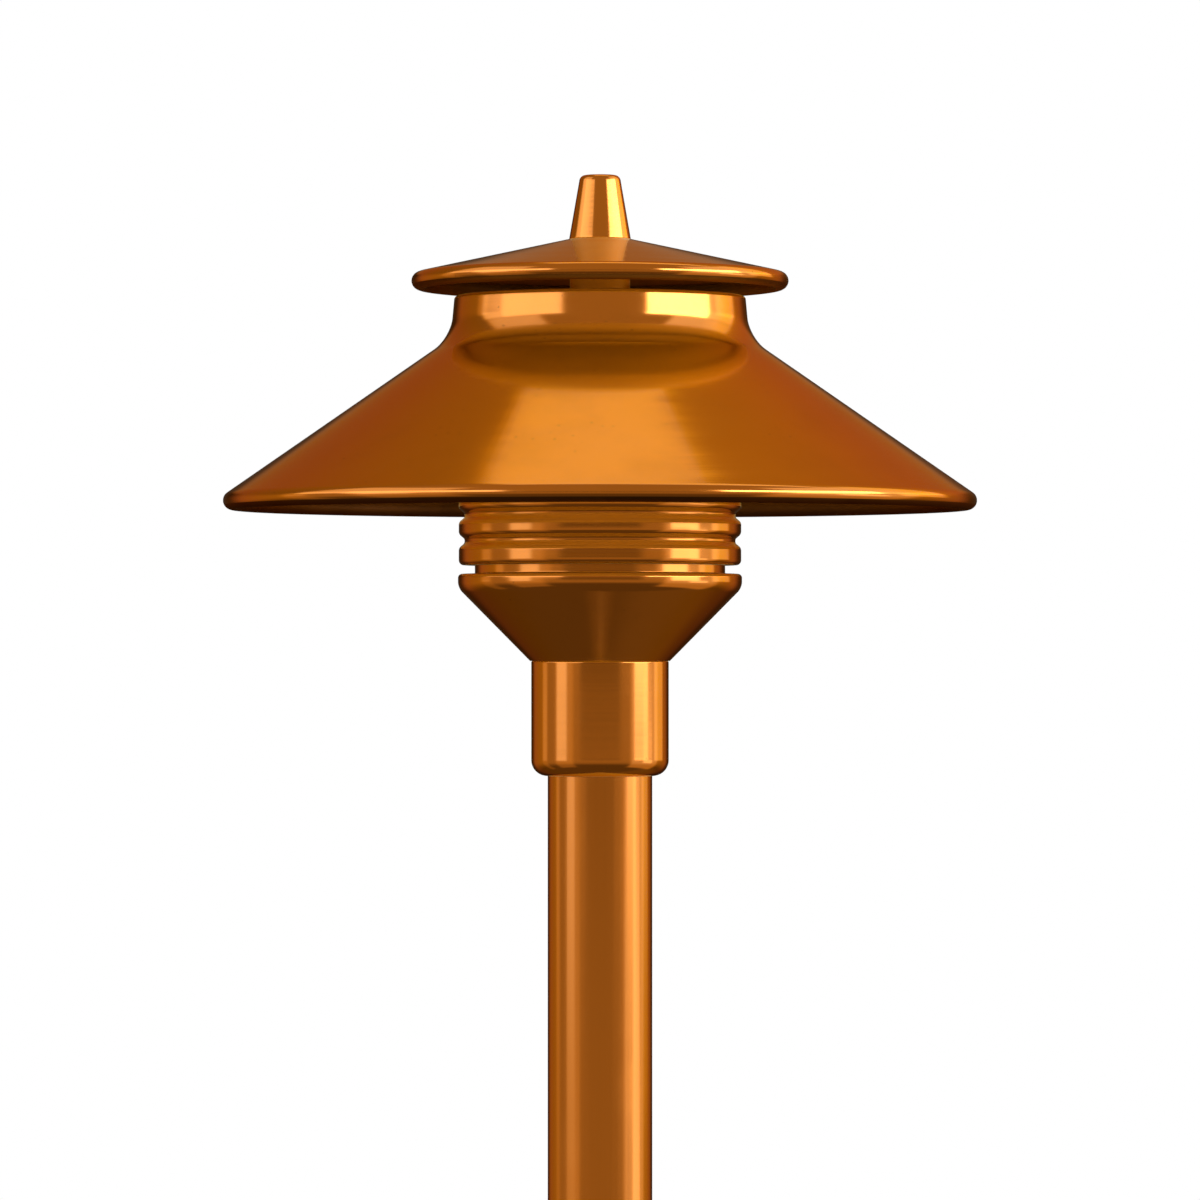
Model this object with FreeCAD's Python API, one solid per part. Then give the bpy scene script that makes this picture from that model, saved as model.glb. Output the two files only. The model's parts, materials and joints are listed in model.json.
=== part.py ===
"""Copper path light: a two-tier hat over a sealed lamp housing, on a tube stem and a ground stake.

Millimetres, +Z up. The origin is on the stem's axis at ground level, and the front is -Y.
Outlines of turned pieces are lists of (radius, height, rounding) corners in the XZ half-plane.
"""
import FreeCAD
import Part
import math
import os

# Ground end and stem
STEM_R = 12.7            # one-inch tube
STEM_WALL = 1.25
STEM_LENGTH = 305.0      # twelve-inch riser
STEM_IN_HUB = 20.0
FLANGE_R = 40.0
FLANGE_T = 5.0
BOSS_R = 19.0
BOSS_TOP = 12.0
FOOT_GASKET_T = 1.5
ADAPTER_COLLAR_T = 2.5
ADAPTER_BOTTOM = -16.0
ADAPTER_BORE_R = 6.5
STAKE_HEAD_R = 17.5
STAKE_HEAD_DEPTH = 38.0
STAKE_DEPTH = 210.0
STAKE_BORE_R = 10.8
STAKE_BLADE_T = 3.2
STAKE_FLOOR_T = 4.0      # under the bore of the stake's head
SPLICE_TOP = 68.0
CLEAR = 0.05             # radial play between fixed pieces
RUN = 0.08               # radial play between turning pieces
SEAL_ROOM = 0.1          # room beside a sealing ring in its groove
M6_R = 3.0
M3_R = 1.5
STUD_HOLE_R = M6_R + 0.3

# Hub and lamp housing: heights are above the hub's underside
HUB_R = 16.7
HUB_H = 27.9
HUB_ROUND = 3.8
STEM_SEAL_Z = 8.0
STEM_SEAL_SECTION = 0.9
HOUSING_SEAL_R = 10.1
HOUSING_SEAL_SECTION = 0.8
SET_SCREW_R = 2.5
SET_SCREW_Z = 14.5
LIP_R = 34.5
LIP_EDGE = 45.65
LIP_TOP = 49.05
NECK_R = 30.4
NECK_TOP = 60.0
NECK_BORE_R = 27.6
FLOOR_T = 3.0
BRACKET_Z = 41.0
BRACKET_T = 1.2
SOCKET_BASE_T = 3.0
SOCKET_TOP = 54.0
REFLECTOR_SEAT = 56.0
PIN_X = 2.0              # half the spacing of the lamp's two pins
BRACKET_SCREW_X = 19.0
SOCKET_SCREW_X = 12.0
LEAD_R = 1.1
NIPPLE_R = 5.0
NIPPLE_BORE_R = 3.5

# Lamp: heights are above the hub's underside
PIN_R = 0.35
LAMP_BASE_Z = SOCKET_TOP + 0.2
LAMP_BASE_TOP = LAMP_BASE_Z + 4.8
LAMP_GLASS_R = 4.75
LAMP_TOP = 84.5

# Collar, lens and hat frame
COLLAR_R = 34.3
COLLAR_BOTTOM = 51.16
COLLAR_TOP = 68.7
FIRST_GROOVE = 5.85      # height of the lowest groove above the collar's foot
RIB_PITCH = 6.25
GROOVE_R = 32.9
LENS_R = 24.5
LENS_WALL = 2.3
LENS_FLANGE_R = 30.2
LENS_FLANGE_T = 3.4
LENS_SEAT = 61.3
LENS_SEAL_SECTION = 0.75
LENS_TOP = 97.0
POST_R = 2.5
POST_PCD_R = 29.5
POSTS = 3
POST_ANGLE = 30.0
PLATE_R = 33.0
PLATE_Z = 106.0
PLATE_T = 3.0
STUD_TOP = 141.0
STUD_NUT_T = 5.0

# Hat, top cap and finial
SHEET_T = 1.5
HAT_SLOPE = math.radians(34.75)
HAT_BEAD = (89.15, 66.8)
HAT_BEAD_R = 2.3
HAT_NECK_R = 35.35
HAT_NECK_TOP = 116.5
HAT_NECK_DRAFT = math.radians(5.2)
HAT_FILLET = 10.5
CAP_SLOPE = math.radians(12.8)
CAP_BEAD = (43.65, 120.2)
CAP_BEAD_R = 2.15
CAP_SEAT_R = 7.8
CAP_TOP = 130.3
FINIAL_BASE_R = 7.55
FINIAL_TOP_R = 4.8
FINIAL_TOP = 145.9
CAP_GASKET_T = 1.0
WASHER_T = 0.8
WASHER_R = 5.4

# Heights that follow
FOOT = BOSS_TOP + FOOT_GASKET_T + ADAPTER_COLLAR_T
HUB_Z = FOOT + STEM_LENGTH - STEM_IN_HUB
SOCKET_Z = BRACKET_Z + BRACKET_T
CONTACT_BOTTOM = SOCKET_TOP - 6.6
COLLAR_FLANGE = LENS_SEAT + LENS_FLANGE_T + 0.3
LENS_SEAL_Z = COLLAR_FLANGE + 1.7
PLATE_TOP = PLATE_Z + PLATE_T
SEAT_TOP = HAT_NECK_TOP - SHEET_T


def vec(x, y, z):
    return FreeCAD.Vector(x, y, z)


# ---------------------------------------------------------------- outlines and basic shapes

def rounded_corner(before, corner, after, rounding):
    """The start, middle and end of the arc that rounds a corner."""
    back = (before - corner).normalize()
    ahead = (after - corner).normalize()
    half = back.getAngle(ahead) / 2
    middle = (back + ahead).normalize()
    reach = rounding / math.tan(half)
    nearest = rounding / math.sin(half) - rounding
    return corner + back * reach, corner + middle * nearest, corner + ahead * reach


def outline(corners):
    """A closed wire in the XZ plane, each corner rounded by its third value if it has one."""
    points = [vec(c[0], 0, c[1]) for c in corners]
    roundings = [c[2] if len(c) > 2 else 0 for c in corners]
    starts, ends, edges = [], [], []
    for i, point in enumerate(points):
        if roundings[i]:
            following = points[(i + 1) % len(points)]
            start, middle, end = rounded_corner(points[i - 1], point, following, roundings[i])
            edges.append(Part.Arc(start, middle, end).toShape())
        else:
            start = end = point
        starts.append(start)
        ends.append(end)
    for i, start in enumerate(starts):
        if ends[i - 1].distanceToPoint(start) > 1e-6:
            edges.append(Part.makeLine(ends[i - 1], start))
    return Part.Wire(Part.__sortEdges__(edges))


def turned(corners, lift=0.0):
    """A solid of revolution about Z."""
    shape = Part.Face(outline(corners)).revolve(vec(0, 0, 0), vec(0, 0, 1), 360)
    return shape.translate(vec(0, 0, lift))


def rod(radius, bottom, top, x=0.0, y=0.0):
    return Part.makeCylinder(radius, top - bottom, vec(x, y, bottom))


def tube(inner, outer, bottom, top):
    return rod(outer, bottom, top).cut(rod(inner, bottom, top))


def block(width, depth, bottom, top):
    return Part.makeBox(width, depth, top - bottom, vec(-width / 2, -depth / 2, bottom))


def hexagon(across_flats, bottom, top):
    radius = across_flats / math.sqrt(3)
    turn = math.pi / 3
    points = [vec(radius * math.cos(turn * i), radius * math.sin(turn * i), bottom) for i in range(7)]
    return Part.Face(Part.makePolygon(points)).extrude(vec(0, 0, top - bottom))


def nut(across_flats, hole, bottom, top):
    return hexagon(across_flats, bottom, top).cut(rod(hole, bottom, top))


def pan_screw(shank_r, seat, length, x, y):
    """A pan-head screw whose head sits on the height seat."""
    head_r, head_h, key = shank_r * 2, shank_r * 1.5, shank_r * 1.6
    recess_floor, rounding = head_h * 0.4, head_h * 0.6
    recess = hexagon(key, recess_floor, head_h)
    head = turned([(0, 0), (head_r, 0), (head_r, head_h, rounding), (0, head_h)])
    shape = head.cut(recess).fuse(rod(shank_r, -length, 0)).removeSplitter()
    return shape.translate(vec(x, y, seat))


def around(shape, count, start=0.0):
    """Copies of a shape, evenly spaced about Z."""
    copies = []
    for i in range(count):
        copy = shape.copy()
        copy.rotate(vec(0, 0, 0), vec(0, 0, 1), start + 360.0 * i / count)
        copies.append(copy)
    return copies


def drilled(shape, holes):
    for hole in holes:
        shape = shape.cut(hole)
    return shape


def sheet(points, thickness):
    """The closed outline of a spun sheet, from its outer side to a parallel inner one."""
    places = [vec(p[0], 0, p[1]) for p in points]
    roundings = [p[2] if len(p) > 2 else 0 for p in points]
    inner = []
    for i, place in enumerate(places):
        runs = [(places[j + 1] - places[j]).normalize() for j in (i - 1, i) if 0 <= j < len(places) - 1]
        sides = [vec(run.z, 0, -run.x) for run in runs]
        if len(sides) == 1:
            inner.append((place + sides[0] * thickness, 0))
            continue
        reach = (sides[0] + sides[1]) * (thickness / (1 + sides[0].dot(sides[1])))
        towards_inner = runs[1].dot(sides[0]) > 0
        change = -thickness if towards_inner else thickness
        rounding = max(roundings[i] + change, 0) if roundings[i] else 0
        inner.append((place + reach, rounding))
    return list(points) + [(place.x, place.z, rounding) for place, rounding in reversed(inner)]


def lines_meet(start, slope, r_at, z_at, draft):
    """Where a line falling outwards from start meets a wall that leans inwards from (r_at, z_at)."""
    lean = math.tan(draft)
    fall = math.tan(slope)
    r = (r_at + lean * (z_at - start[1] - fall * start[0])) / (1 - lean * fall)
    return r, start[1] + fall * (start[0] - r)


# ---------------------------------------------------------------- ground end and stem

def plate_shape(points, thickness):
    """A plate in the XZ plane, centred on it."""
    edge = Part.makePolygon([vec(x, -thickness / 2, z) for x, z in points + points[:1]])
    return Part.Face(edge).extrude(vec(0, thickness, 0))


def stake():
    shoulder_drop, tip_length, tip_half = 22.0, 12.0, 3.0
    half = [(0, -STAKE_HEAD_DEPTH), (STAKE_HEAD_R, -STAKE_HEAD_DEPTH),
            (STAKE_HEAD_R, -STAKE_HEAD_DEPTH - shoulder_drop), (tip_half, tip_length - STAKE_DEPTH),
            (0, -STAKE_DEPTH)]
    blade = plate_shape(half + [(-x, z) for x, z in half[-2:0:-1]], STAKE_BLADE_T)
    fin_reach, fin_depth = 36.0, 20.0
    fin = plate_shape([(0, 0), (fin_reach, 0), (STAKE_HEAD_R, -fin_depth), (0, -fin_depth)], STAKE_BLADE_T)
    edge_drop, boss_skirt = 1.0, 3.0
    top = turned([(0, 0), (FLANGE_R, 0, 1.0), (FLANGE_R, FLANGE_T - edge_drop, 1.5),
                  (BOSS_R + boss_skirt, FLANGE_T, 2.5), (BOSS_R, BOSS_TOP, 1.5), (0, BOSS_TOP)])
    head = rod(STAKE_HEAD_R, -STAKE_HEAD_DEPTH, 0)
    body = top.fuse([head, blade] + around(blade, 1, 90.0) + around(fin, 4, 45.0))
    bore_floor = STAKE_FLOOR_T - STAKE_HEAD_DEPTH
    bore = rod(STAKE_BORE_R, bore_floor, BOSS_TOP)
    notch_half, notch_top = 4.5, -14.0
    notch = Part.makeBox(2 * notch_half, STAKE_HEAD_R + 1, notch_top - bore_floor,
                         vec(-notch_half, 0, bore_floor))
    return body.cut(bore).cut(notch).removeSplitter()


def foot_gasket():
    inset = 3.0
    return tube(STAKE_BORE_R, BOSS_R - inset, BOSS_TOP, BOSS_TOP + FOOT_GASKET_T)


def stem_adapter():
    plug_length, overhang = 18.0, 2.3
    nipple_r = STAKE_BORE_R - CLEAR * 2
    collar_r = STEM_R + overhang
    plug_r = STEM_R - STEM_WALL - CLEAR
    gasket_top = BOSS_TOP + FOOT_GASKET_T
    return turned([(ADAPTER_BORE_R, ADAPTER_BOTTOM), (nipple_r, ADAPTER_BOTTOM), (nipple_r, gasket_top),
                   (collar_r, gasket_top, 0.4), (collar_r, FOOT, 0.8), (plug_r, FOOT),
                   (plug_r, FOOT + plug_length, 1.0), (ADAPTER_BORE_R, FOOT + plug_length)])


def cable_grommet():
    hole, flange_r, flange_t, length = 3.5, 9.0, 2.5, 8.0
    body_r = ADAPTER_BORE_R - CLEAR
    flange_bottom, body_top = ADAPTER_BOTTOM - flange_t, ADAPTER_BOTTOM + length
    return turned([(hole, flange_bottom), (flange_r, flange_bottom, 1.0), (flange_r, ADAPTER_BOTTOM),
                   (body_r, ADAPTER_BOTTOM), (body_r, body_top, 1.0), (hole, body_top)])


def stem():
    return tube(STEM_R - STEM_WALL, STEM_R, FOOT, FOOT + STEM_LENGTH)


def splice_connectors():
    radius, top_r, length, offset = 4.0, 3.2, 22.0, 4.5
    bottom = SPLICE_TOP - length
    one = turned([(0, bottom), (radius, bottom, 1.5), (top_r, SPLICE_TOP, 0.5), (0, SPLICE_TOP)])
    return Part.makeCompound([one.copy().translate(vec(side * offset, 0, 0)) for side in (-1, 1)])


def lead_wires():
    top = HUB_Z + CONTACT_BOTTOM
    return Part.makeCompound([rod(LEAD_R, SPLICE_TOP, top, side * PIN_X) for side in (-1, 1)])


# ---------------------------------------------------------------- hub and lamp housing

def hub():
    bore = STEM_R + CLEAR
    nipple_bore = NIPPLE_R + CLEAR
    body = turned([(bore, 0), (HUB_R, 0, HUB_ROUND), (HUB_R, HUB_H, 0.3), (nipple_bore, HUB_H),
                   (nipple_bore, STEM_IN_HUB), (bore, STEM_IN_HUB)], HUB_Z)
    groove_half = STEM_SEAL_SECTION + SEAL_ROOM
    stem_groove = tube(STEM_R, STEM_R + 2 * STEM_SEAL_SECTION + SEAL_ROOM,
                       HUB_Z + STEM_SEAL_Z - groove_half, HUB_Z + STEM_SEAL_Z + groove_half)
    seat_half = HOUSING_SEAL_SECTION + SEAL_ROOM
    seal_seat = tube(HOUSING_SEAL_R - seat_half, HOUSING_SEAL_R + seat_half,
                     HUB_Z + HUB_H - 2 * HOUSING_SEAL_SECTION - SEAL_ROOM, HUB_Z + HUB_H)
    screw_hole = Part.makeCylinder(SET_SCREW_R + RUN, HUB_R, vec(0, 0, HUB_Z + SET_SCREW_Z), vec(0, 1, 0))
    return drilled(body, [stem_groove, seal_seat, screw_hole])


def set_screw():
    gap = 0.15
    length = HUB_R - STEM_R - 2 * gap
    key, depth = 2.5, 2.0
    shape = rod(SET_SCREW_R, 0, length).cut(hexagon(key, length - depth, length))
    shape.rotate(vec(0, 0, 0), vec(1, 0, 0), -90)
    return shape.translate(vec(0, STEM_R + gap, HUB_Z + SET_SCREW_Z))


def hub_oring():
    middle_r = STEM_R + CLEAR + STEM_SEAL_SECTION
    return Part.makeTorus(middle_r, STEM_SEAL_SECTION, vec(0, 0, HUB_Z + STEM_SEAL_Z))


def housing_seal():
    middle = HUB_H - HOUSING_SEAL_SECTION - SEAL_ROOM / 2
    return Part.makeTorus(HOUSING_SEAL_R, HOUSING_SEAL_SECTION, vec(0, 0, HUB_Z + middle))


def nipple():
    below, above = 1.5, 9.6
    return tube(NIPPLE_BORE_R, NIPPLE_R, HUB_Z + STEM_IN_HUB - below, HUB_Z + HUB_H + above)


def nipple_nut():
    across_flats, thickness = 14.0, 4.0
    bottom = HUB_Z + HUB_H + FLOOR_T
    return nut(across_flats, NIPPLE_R + CLEAR, bottom, bottom + thickness)


def housing():
    wall, reveal, seat_width = 3.4, 0.3, 2.1
    cone_foot_r = HUB_R + reveal
    floor = HUB_H + FLOOR_T
    inner_r = NECK_BORE_R - seat_width
    hole = NIPPLE_R + CLEAR
    inner_foot_r = cone_foot_r + FLOOR_T - wall
    body = turned([(hole, HUB_H), (cone_foot_r, HUB_H), (LIP_R, LIP_EDGE, 3.5), (LIP_R, LIP_TOP, 1.0),
                   (NECK_R, LIP_TOP), (NECK_R, NECK_TOP, 0.5), (NECK_BORE_R, NECK_TOP),
                   (NECK_BORE_R, REFLECTOR_SEAT), (inner_r, REFLECTOR_SEAT),
                   (inner_r, floor + inner_r - inner_foot_r), (inner_foot_r, floor), (hole, floor)], HUB_Z)
    boss_bottom, boss_r, boss_floor = 34.5, 3.2, 1.0
    for side in (-1, 1):
        x = side * BRACKET_SCREW_X
        body = body.fuse(rod(boss_r, HUB_Z + boss_bottom, HUB_Z + BRACKET_Z, x))
        body = body.cut(rod(M3_R + CLEAR, HUB_Z + boss_bottom + boss_floor, HUB_Z + BRACKET_Z, x))
    return body.removeSplitter()


def socket_bracket():
    length, width, lead_hole = 44.0, 12.0, 3.6
    plate = block(length, width, HUB_Z + BRACKET_Z, HUB_Z + SOCKET_Z)
    holes = [rod(M3_R + CLEAR, HUB_Z + BRACKET_Z, HUB_Z + SOCKET_Z, side * x)
             for x in (BRACKET_SCREW_X, SOCKET_SCREW_X) for side in (-1, 1)]
    return drilled(plate, holes + [rod(lead_hole, HUB_Z + BRACKET_Z, HUB_Z + SOCKET_Z)])


def bracket_screws():
    length = 5.0
    return Part.makeCompound([pan_screw(M3_R, HUB_Z + SOCKET_Z, length, side * BRACKET_SCREW_X, 0)
                              for side in (-1, 1)])


def lamp_socket():
    length, width, body_r, overlap = 30.0, 10.0, 7.5, 1.0
    bottom, step = HUB_Z + SOCKET_Z, HUB_Z + SOCKET_Z + SOCKET_BASE_T
    body = turned([(0, step - overlap), (body_r, step - overlap), (body_r, HUB_Z + SOCKET_TOP, 0.8),
                   (0, HUB_Z + SOCKET_TOP)])
    body = body.fuse(block(length, width, bottom, step)).removeSplitter()
    holes = [rod(LEAD_R + 2 * CLEAR, bottom, HUB_Z + SOCKET_TOP, side * PIN_X) for side in (-1, 1)]
    holes += [rod(M3_R + CLEAR, bottom, step, side * SOCKET_SCREW_X) for side in (-1, 1)]
    return drilled(body, holes)


def socket_contacts():
    sunk = 0.2
    one = tube(PIN_R + RUN, LEAD_R + CLEAR, HUB_Z + CONTACT_BOTTOM, HUB_Z + SOCKET_TOP - sunk)
    return Part.makeCompound([one.copy().translate(vec(side * PIN_X, 0, 0)) for side in (-1, 1)])


def socket_screws():
    length, seat = 5.5, HUB_Z + SOCKET_Z + SOCKET_BASE_T
    return Part.makeCompound([pan_screw(M3_R, seat, length, side * SOCKET_SCREW_X, 0) for side in (-1, 1)])


def reflector_disc():
    hole, dish, thickness, rim, play = 8.5, 1.2, 0.8, 3.0, 0.2
    seat, top = REFLECTOR_SEAT, REFLECTOR_SEAT + thickness
    inner_r, outer_r = NECK_BORE_R - rim, NECK_BORE_R - play
    return turned([(hole, seat - dish), (inner_r, seat, 2.0), (outer_r, seat), (outer_r, top),
                   (inner_r, top, 2.0), (hole, top - dish)], HUB_Z)


def lens_gasket():
    return tube(NECK_BORE_R + CLEAR, LENS_FLANGE_R, HUB_Z + NECK_TOP, HUB_Z + LENS_SEAT)


# ---------------------------------------------------------------- lamp

def lamp_base():
    step = 0.8
    radius = LAMP_GLASS_R + step
    return turned([(0, LAMP_BASE_Z), (radius, LAMP_BASE_Z, 0.5), (radius, LAMP_BASE_TOP, 1.0),
                   (0, LAMP_BASE_TOP)], HUB_Z)


def lamp_glass():
    wall, flat = 0.8, 0.1
    inner = LAMP_GLASS_R - wall
    return turned([(inner, LAMP_BASE_TOP), (LAMP_GLASS_R, LAMP_BASE_TOP),
                   (LAMP_GLASS_R, LAMP_TOP, LAMP_GLASS_R - flat), (0, LAMP_TOP), (0, LAMP_TOP - wall),
                   (inner, LAMP_TOP - wall, inner - flat)], HUB_Z)


def lamp_pins():
    length = 6.0
    return Part.makeCompound([rod(PIN_R, HUB_Z + LAMP_BASE_Z - length, HUB_Z + LAMP_BASE_Z, side * PIN_X)
                              for side in (-1, 1)])


def lamp_filament():
    coil_r, coil_half, support_r, coil_z = 0.7, 2.3, 0.25, 72.0
    coil = Part.makeCylinder(coil_r, 2 * coil_half, vec(-coil_half, 0, HUB_Z + coil_z), vec(1, 0, 0))
    bottom, top = HUB_Z + LAMP_BASE_TOP, HUB_Z + coil_z - coil_r
    supports = [rod(support_r, bottom, top, side * (coil_half - support_r)) for side in (-1, 1)]
    return Part.makeCompound([coil] + supports)


# ---------------------------------------------------------------- lens, collar and hat frame

def lens():
    inner = LENS_R - LENS_WALL
    dome, flange_top = 20.0, LENS_SEAT + LENS_FLANGE_T
    return turned([(inner, LENS_SEAT), (LENS_FLANGE_R, LENS_SEAT), (LENS_FLANGE_R, flange_top, 0.8),
                   (LENS_R, flange_top, 1.0), (LENS_R, LENS_TOP, dome), (0, LENS_TOP),
                   (0, LENS_TOP - LENS_WALL), (inner, LENS_TOP - LENS_WALL, dome - LENS_WALL)], HUB_Z)


def collar():
    bore = NECK_R + RUN
    mouth_gap = 0.7
    mouth = LENS_R + mouth_gap
    grooves, floor_half, slope, crest_round, floor_round = 2, 0.5, 1.2, 1.3, 0.7
    corners = [(bore, COLLAR_BOTTOM), (COLLAR_R, COLLAR_BOTTOM, 1.2)]
    for i in range(grooves):
        z = COLLAR_BOTTOM + FIRST_GROOVE + i * RIB_PITCH
        corners += [(COLLAR_R, z - floor_half - slope, crest_round), (GROOVE_R, z - floor_half, floor_round),
                    (GROOVE_R, z + floor_half, floor_round), (COLLAR_R, z + floor_half + slope, crest_round)]
    corners += [(COLLAR_R, COLLAR_TOP, 1.0), (mouth, COLLAR_TOP), (mouth, COLLAR_FLANGE),
                (bore, COLLAR_FLANGE)]
    seal_half = LENS_SEAL_SECTION + SEAL_ROOM
    seal_groove = tube(LENS_R, LENS_R + RUN + 2 * LENS_SEAL_SECTION + SEAL_ROOM,
                       HUB_Z + LENS_SEAL_Z - seal_half, HUB_Z + LENS_SEAL_Z + seal_half)
    spigot_hole = rod(M3_R + CLEAR, HUB_Z + COLLAR_FLANGE, HUB_Z + COLLAR_TOP, POST_PCD_R)
    return drilled(turned(corners, HUB_Z), [seal_groove] + around(spigot_hole, POSTS, POST_ANGLE))


def lens_oring():
    return Part.makeTorus(LENS_R + RUN + LENS_SEAL_SECTION, LENS_SEAL_SECTION, vec(0, 0, HUB_Z + LENS_SEAL_Z))


def posts():
    spigot, tapped = 3.0, 9.0
    post = rod(POST_R, HUB_Z + COLLAR_TOP, HUB_Z + PLATE_Z, POST_PCD_R)
    post = post.fuse(rod(M3_R, HUB_Z + COLLAR_TOP - spigot, HUB_Z + COLLAR_TOP, POST_PCD_R))
    post = post.cut(rod(M3_R + CLEAR, HUB_Z + PLATE_Z - tapped, HUB_Z + PLATE_Z, POST_PCD_R))
    return Part.makeCompound(around(post.removeSplitter(), POSTS, POST_ANGLE))


def support_plate():
    bottom, top = HUB_Z + PLATE_Z, HUB_Z + PLATE_TOP
    vent_r, vent_pcd_r, vent_turn = 6.0, 18.0, 60.0
    plate = tube(M6_R + CLEAR, PLATE_R, bottom, top)
    holes = around(rod(M3_R + CLEAR, bottom, top, POST_PCD_R), POSTS, POST_ANGLE)
    vents = around(rod(vent_r, bottom, top, vent_pcd_r), POSTS, POST_ANGLE + vent_turn)
    return drilled(plate, holes + vents)


def post_screws():
    grip = 7.0
    screw = pan_screw(M3_R, HUB_Z + PLATE_TOP, PLATE_T + grip, POST_PCD_R, 0)
    return Part.makeCompound(around(screw, POSTS, POST_ANGLE))


def centre_stud():
    gap_to_lens = 2.5
    return rod(M6_R, HUB_Z + LENS_TOP + gap_to_lens, HUB_Z + STUD_TOP)


def stud_nuts():
    across_flats = 10.0
    below = nut(across_flats, M6_R + CLEAR, HUB_Z + PLATE_Z - STUD_NUT_T, HUB_Z + PLATE_Z)
    above = nut(across_flats, M6_R + CLEAR, HUB_Z + PLATE_TOP, HUB_Z + PLATE_TOP + STUD_NUT_T)
    return Part.makeCompound([below, above])


def seat_washer():
    radius = 12.0
    return tube(STUD_HOLE_R, radius, HUB_Z + PLATE_TOP + STUD_NUT_T, HUB_Z + SEAT_TOP)


# ---------------------------------------------------------------- hat, top cap and finial

def bead_touch(bead, bead_r, slope):
    """Where the sheet's outer side runs into its rolled bead, a hair under the bead's surface."""
    sunk = 0.03
    reach = bead_r - sunk
    return bead[0] + reach * math.sin(slope), bead[1] + reach * math.cos(slope)


def spun_hat(bead, bead_r, slope, upper_points):
    """A spun sheet that falls outwards to a rolled bead, with a hole for the stud."""
    body = turned(sheet(upper_points + [bead_touch(bead, bead_r, slope)], SHEET_T), HUB_Z)
    roll = Part.makeTorus(bead[0], bead_r, vec(0, 0, HUB_Z + bead[1]))
    return body.fuse(roll).removeSplitter()


def shade():
    touch = bead_touch(HAT_BEAD, HAT_BEAD_R, HAT_SLOPE)
    knee = lines_meet(touch, HAT_SLOPE, HAT_NECK_R, HAT_NECK_TOP, HAT_NECK_DRAFT)
    points = [(STUD_HOLE_R, HAT_NECK_TOP), (HAT_NECK_R, HAT_NECK_TOP, 1.8), knee + (HAT_FILLET,)]
    return spun_hat(HAT_BEAD, HAT_BEAD_R, HAT_SLOPE, points)


def cap_gasket():
    radius = 11.0
    return tube(STUD_HOLE_R, radius, HUB_Z + HAT_NECK_TOP, HUB_Z + HAT_NECK_TOP + CAP_GASKET_T)


def cap_spacer():
    inset = 0.5
    bottom = HAT_NECK_TOP + CAP_GASKET_T
    return tube(STUD_HOLE_R, CAP_SEAT_R - inset, HUB_Z + bottom, HUB_Z + CAP_TOP - SHEET_T)


def top_cap():
    points = [(STUD_HOLE_R, CAP_TOP), (CAP_SEAT_R, CAP_TOP)]
    return spun_hat(CAP_BEAD, CAP_BEAD_R, CAP_SLOPE, points)


def finial_washer():
    return tube(M6_R + 2 * CLEAR, WASHER_R, HUB_Z + CAP_TOP, HUB_Z + CAP_TOP + WASHER_T)


def finial():
    recess_play, bore_spare = 0.3, 1.0
    recess_r, recess_top = WASHER_R + recess_play, CAP_TOP + WASHER_T + CLEAR
    bore, bore_top = M6_R + RUN, STUD_TOP + bore_spare
    return turned([(recess_r, CAP_TOP), (FINIAL_BASE_R, CAP_TOP, 0.2), (FINIAL_TOP_R, FINIAL_TOP, 1.4),
                   (0, FINIAL_TOP), (0, bore_top), (bore, bore_top), (bore, recess_top),
                   (recess_r, recess_top)], HUB_Z)


PIECES = [stake, foot_gasket, stem_adapter, cable_grommet, stem, splice_connectors, lead_wires, hub,
          hub_oring, set_screw, nipple, nipple_nut, housing_seal, housing, socket_bracket, bracket_screws,
          lamp_socket, socket_contacts, socket_screws, reflector_disc, lens_gasket, lamp_base, lamp_glass,
          lamp_pins, lamp_filament, lens, collar, lens_oring, posts, support_plate, post_screws,
          centre_stud, stud_nuts, seat_washer, shade, cap_gasket, cap_spacer, top_cap, finial_washer,
          finial]

os.makedirs("parts", exist_ok=True)
for piece in PIECES:
    shape = piece()
    if not shape.isValid():
        raise ValueError(piece.__name__ + " is not a valid shape")
    shape.exportStep("parts/" + piece.__name__ + ".step")
    print(piece.__name__, len(shape.Solids), round(shape.Volume, 2))
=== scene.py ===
"""Copper path light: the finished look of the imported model.

Lengths are metres in the model's own frame: +Z up the stem, the origin at ground level, -Y the front.
Outlines of turned pieces are (radius, height) corners; a third value rounds the corner.
"""
import json
import math

import bmesh
import bpy
from bpy.props import FloatProperty, FloatVectorProperty, IntProperty, PointerProperty
from mathutils import Matrix, Vector


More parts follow.
